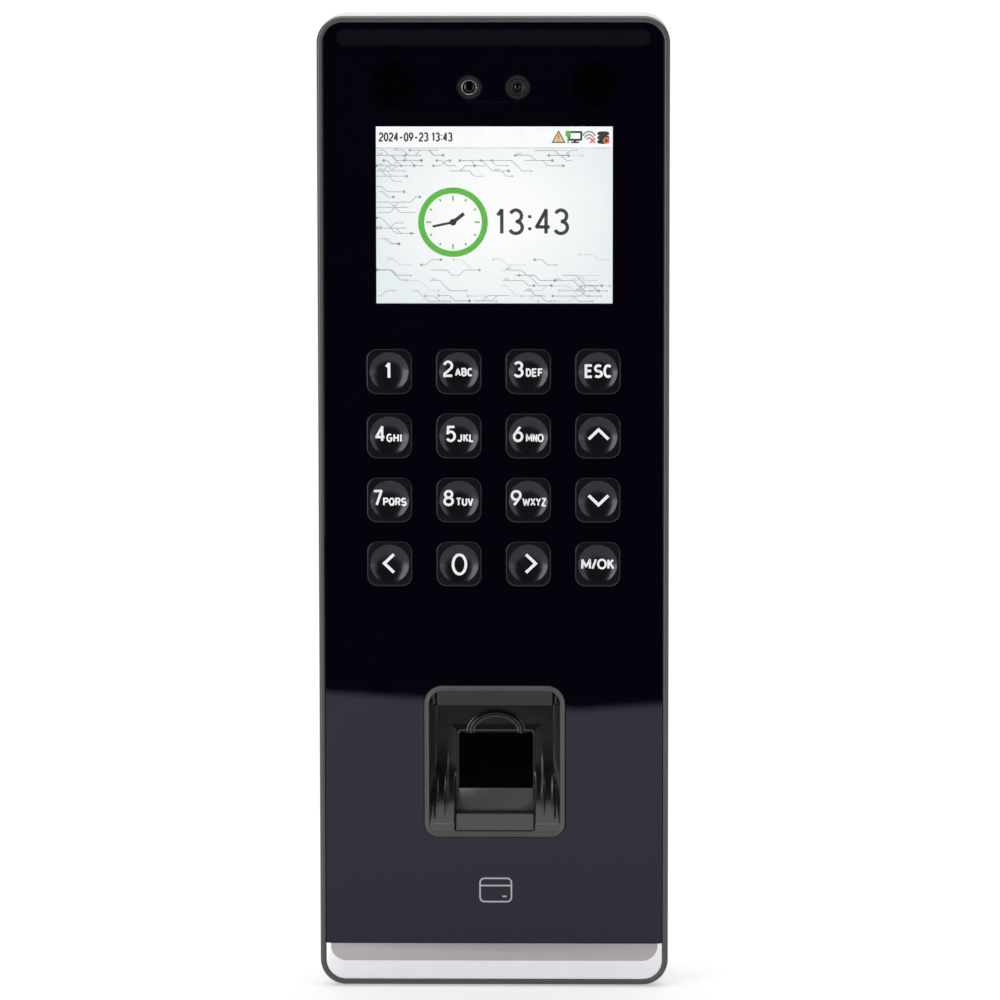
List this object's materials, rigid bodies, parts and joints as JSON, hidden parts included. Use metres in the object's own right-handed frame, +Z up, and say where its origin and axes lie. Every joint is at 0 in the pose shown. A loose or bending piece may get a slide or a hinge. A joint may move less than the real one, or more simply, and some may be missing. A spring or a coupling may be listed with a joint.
{
  "type": "wall-mounted time clock terminal",
  "caption": "Slim black wall-mounted time clock terminal with a small colour screen, a keypad, a fingerprint reader, face cameras, a card reading zone and a silver chin strip.",
  "frame": {"origin": "centre of the wall plate's back face, which lies on the wall", "axes": "+Z up; +Y into the wall, so the front faces -Y; +X to the right seen from the front"},
  "size_m": [0.073, 0.0244, 0.2032],
  "materials": {
    "shell_plastic": "fine spark texture, light grey",
    "frame_plastic": "satin gunmetal paint on moulded plastic",
    "lens_acrylic": "polished clear acrylic",
    "print_black": "black ink on clear film",
    "chin_silver": "silver vacuum metallised plastic",
    "key_black": "polished black plastic",
    "silicone": "matte silicone",
    "seal_rubber": "matte black foam rubber",
    "board_green": "solder mask over glass epoxy",
    "chip_black": "moulded epoxy",
    "shield_steel": "tinned sheet steel",
    "dome_steel": "stamped stainless steel",
    "display_glass": "display glass",
    "backlight_tray": "white moulded plastic",
    "flex_amber": "polyimide flat cable",
    "guide_black": "satin black plastic",
    "prism_glass": "dark optical glass",
    "camera_black": "black lens barrel",
    "holder_black": "black moulded plastic",
    "reflector_chrome": "metallised reflector",
    "led_yellow": "phosphor filled resin",
    "diffuser_white": "opal plastic",
    "connector_white": "natural nylon",
    "button_red": "red moulded plastic",
    "cell_steel": "nickel plated steel",
    "speaker_black": "black plastic and paper cone",
    "screw_steel": "zinc plated steel",
    "plate_steel": "galvanised sheet steel"
  },
  "bodies": {
    "housing": {"wall_plate": "plate_steel", "lock_screw": "screw_steel", "rear_shell": "shell_plastic", "case_seal": "seal_rubber", "front_frame": "frame_plastic", "front_lens": "lens_acrylic", "lens_print": "print_black", "chin_trim": "chin_silver", "lcd_panel": "display_glass", "lcd_backlight": "backlight_tray", "lcd_flex": "flex_amber", "key_mat": "silicone", "keypad_board": "board_green", "key_switches": "dome_steel", "keypad_cable": "flex_amber", "finger_guide": "guide_black", "finger_gasket": "seal_rubber", "sensor_prism": "prism_glass", "sensor_board": "board_green", "camera_holder": "holder_black", "camera_left": "camera_black", "camera_right": "camera_black", "camera_board": "board_green", "ir_reflector_left": "reflector_chrome", "ir_reflector_right": "reflector_chrome", "ir_leds": "led_yellow", "light_diffuser": "diffuser_white", "light_board": "board_green", "light_leds": "led_yellow", "main_board": "board_green", "processor_shield": "shield_steel", "board_chips": "chip_black", "backup_cell": "cell_steel", "network_header": "connector_white", "wiring_header": "connector_white", "power_header": "connector_white", "reset_switch": "chip_black", "tamper_switch": "chip_black", "antenna_board": "board_green", "speaker": "speaker_black", "case_screws": "screw_steel", "board_screws": "screw_steel"},
    "key_1_cap": {"key_1": "key_black"},
    "key_2_cap": {"key_2": "key_black"},
    "key_3_cap": {"key_3": "key_black"},
    "key_escape_cap": {"key_escape": "key_black"},
    "key_4_cap": {"key_4": "key_black"},
    "key_5_cap": {"key_5": "key_black"},
    "key_6_cap": {"key_6": "key_black"},
    "key_up_cap": {"key_up": "key_black"},
    "key_7_cap": {"key_7": "key_black"},
    "key_8_cap": {"key_8": "key_black"},
    "key_9_cap": {"key_9": "key_black"},
    "key_down_cap": {"key_down": "key_black"},
    "key_left_cap": {"key_left": "key_black"},
    "key_0_cap": {"key_0": "key_black"},
    "key_right_cap": {"key_right": "key_black"},
    "key_menu_cap": {"key_menu": "key_black"},
    "reset_plunger": {"reset_button": "button_red"},
    "tamper_pin": {"tamper_plunger": "connector_white"}
  },
  "joints": [
    {"name": "key_1_press", "type": "slide", "parent": "housing", "child": "key_1_cap", "axis": [0, 1, 0], "range_m": [0, 0.0008], "stiffness_N_per_m": 900},
    {"name": "key_2_press", "type": "slide", "parent": "housing", "child": "key_2_cap", "axis": [0, 1, 0], "range_m": [0, 0.0008], "stiffness_N_per_m": 900},
    {"name": "key_3_press", "type": "slide", "parent": "housing", "child": "key_3_cap", "axis": [0, 1, 0], "range_m": [0, 0.0008], "stiffness_N_per_m": 900},
    {"name": "key_escape_press", "type": "slide", "parent": "housing", "child": "key_escape_cap", "axis": [0, 1, 0], "range_m": [0, 0.0008], "stiffness_N_per_m": 900},
    {"name": "key_4_press", "type": "slide", "parent": "housing", "child": "key_4_cap", "axis": [0, 1, 0], "range_m": [0, 0.0008], "stiffness_N_per_m": 900},
    {"name": "key_5_press", "type": "slide", "parent": "housing", "child": "key_5_cap", "axis": [0, 1, 0], "range_m": [0, 0.0008], "stiffness_N_per_m": 900},
    {"name": "key_6_press", "type": "slide", "parent": "housing", "child": "key_6_cap", "axis": [0, 1, 0], "range_m": [0, 0.0008], "stiffness_N_per_m": 900},
    {"name": "key_up_press", "type": "slide", "parent": "housing", "child": "key_up_cap", "axis": [0, 1, 0], "range_m": [0, 0.0008], "stiffness_N_per_m": 900},
    {"name": "key_7_press", "type": "slide", "parent": "housing", "child": "key_7_cap", "axis": [0, 1, 0], "range_m": [0, 0.0008], "stiffness_N_per_m": 900},
    {"name": "key_8_press", "type": "slide", "parent": "housing", "child": "key_8_cap", "axis": [0, 1, 0], "range_m": [0, 0.0008], "stiffness_N_per_m": 900},
    {"name": "key_9_press", "type": "slide", "parent": "housing", "child": "key_9_cap", "axis": [0, 1, 0], "range_m": [0, 0.0008], "stiffness_N_per_m": 900},
    {"name": "key_down_press", "type": "slide", "parent": "housing", "child": "key_down_cap", "axis": [0, 1, 0], "range_m": [0, 0.0008], "stiffness_N_per_m": 900},
    {"name": "key_left_press", "type": "slide", "parent": "housing", "child": "key_left_cap", "axis": [0, 1, 0], "range_m": [0, 0.0008], "stiffness_N_per_m": 900},
    {"name": "key_0_press", "type": "slide", "parent": "housing", "child": "key_0_cap", "axis": [0, 1, 0], "range_m": [0, 0.0008], "stiffness_N_per_m": 900},
    {"name": "key_right_press", "type": "slide", "parent": "housing", "child": "key_right_cap", "axis": [0, 1, 0], "range_m": [0, 0.0008], "stiffness_N_per_m": 900},
    {"name": "key_menu_press", "type": "slide", "parent": "housing", "child": "key_menu_cap", "axis": [0, 1, 0], "range_m": [0, 0.0008], "stiffness_N_per_m": 900},
    {"name": "reset_press", "type": "slide", "parent": "housing", "child": "reset_plunger", "axis": [0, -1, 0], "range_m": [0, 0.0004], "stiffness_N_per_m": 900},
    {"name": "tamper_press", "type": "slide", "parent": "housing", "child": "tamper_pin", "axis": [0, -1, 0], "range_m": [0, 0.0015], "stiffness_N_per_m": 300}
  ]
}
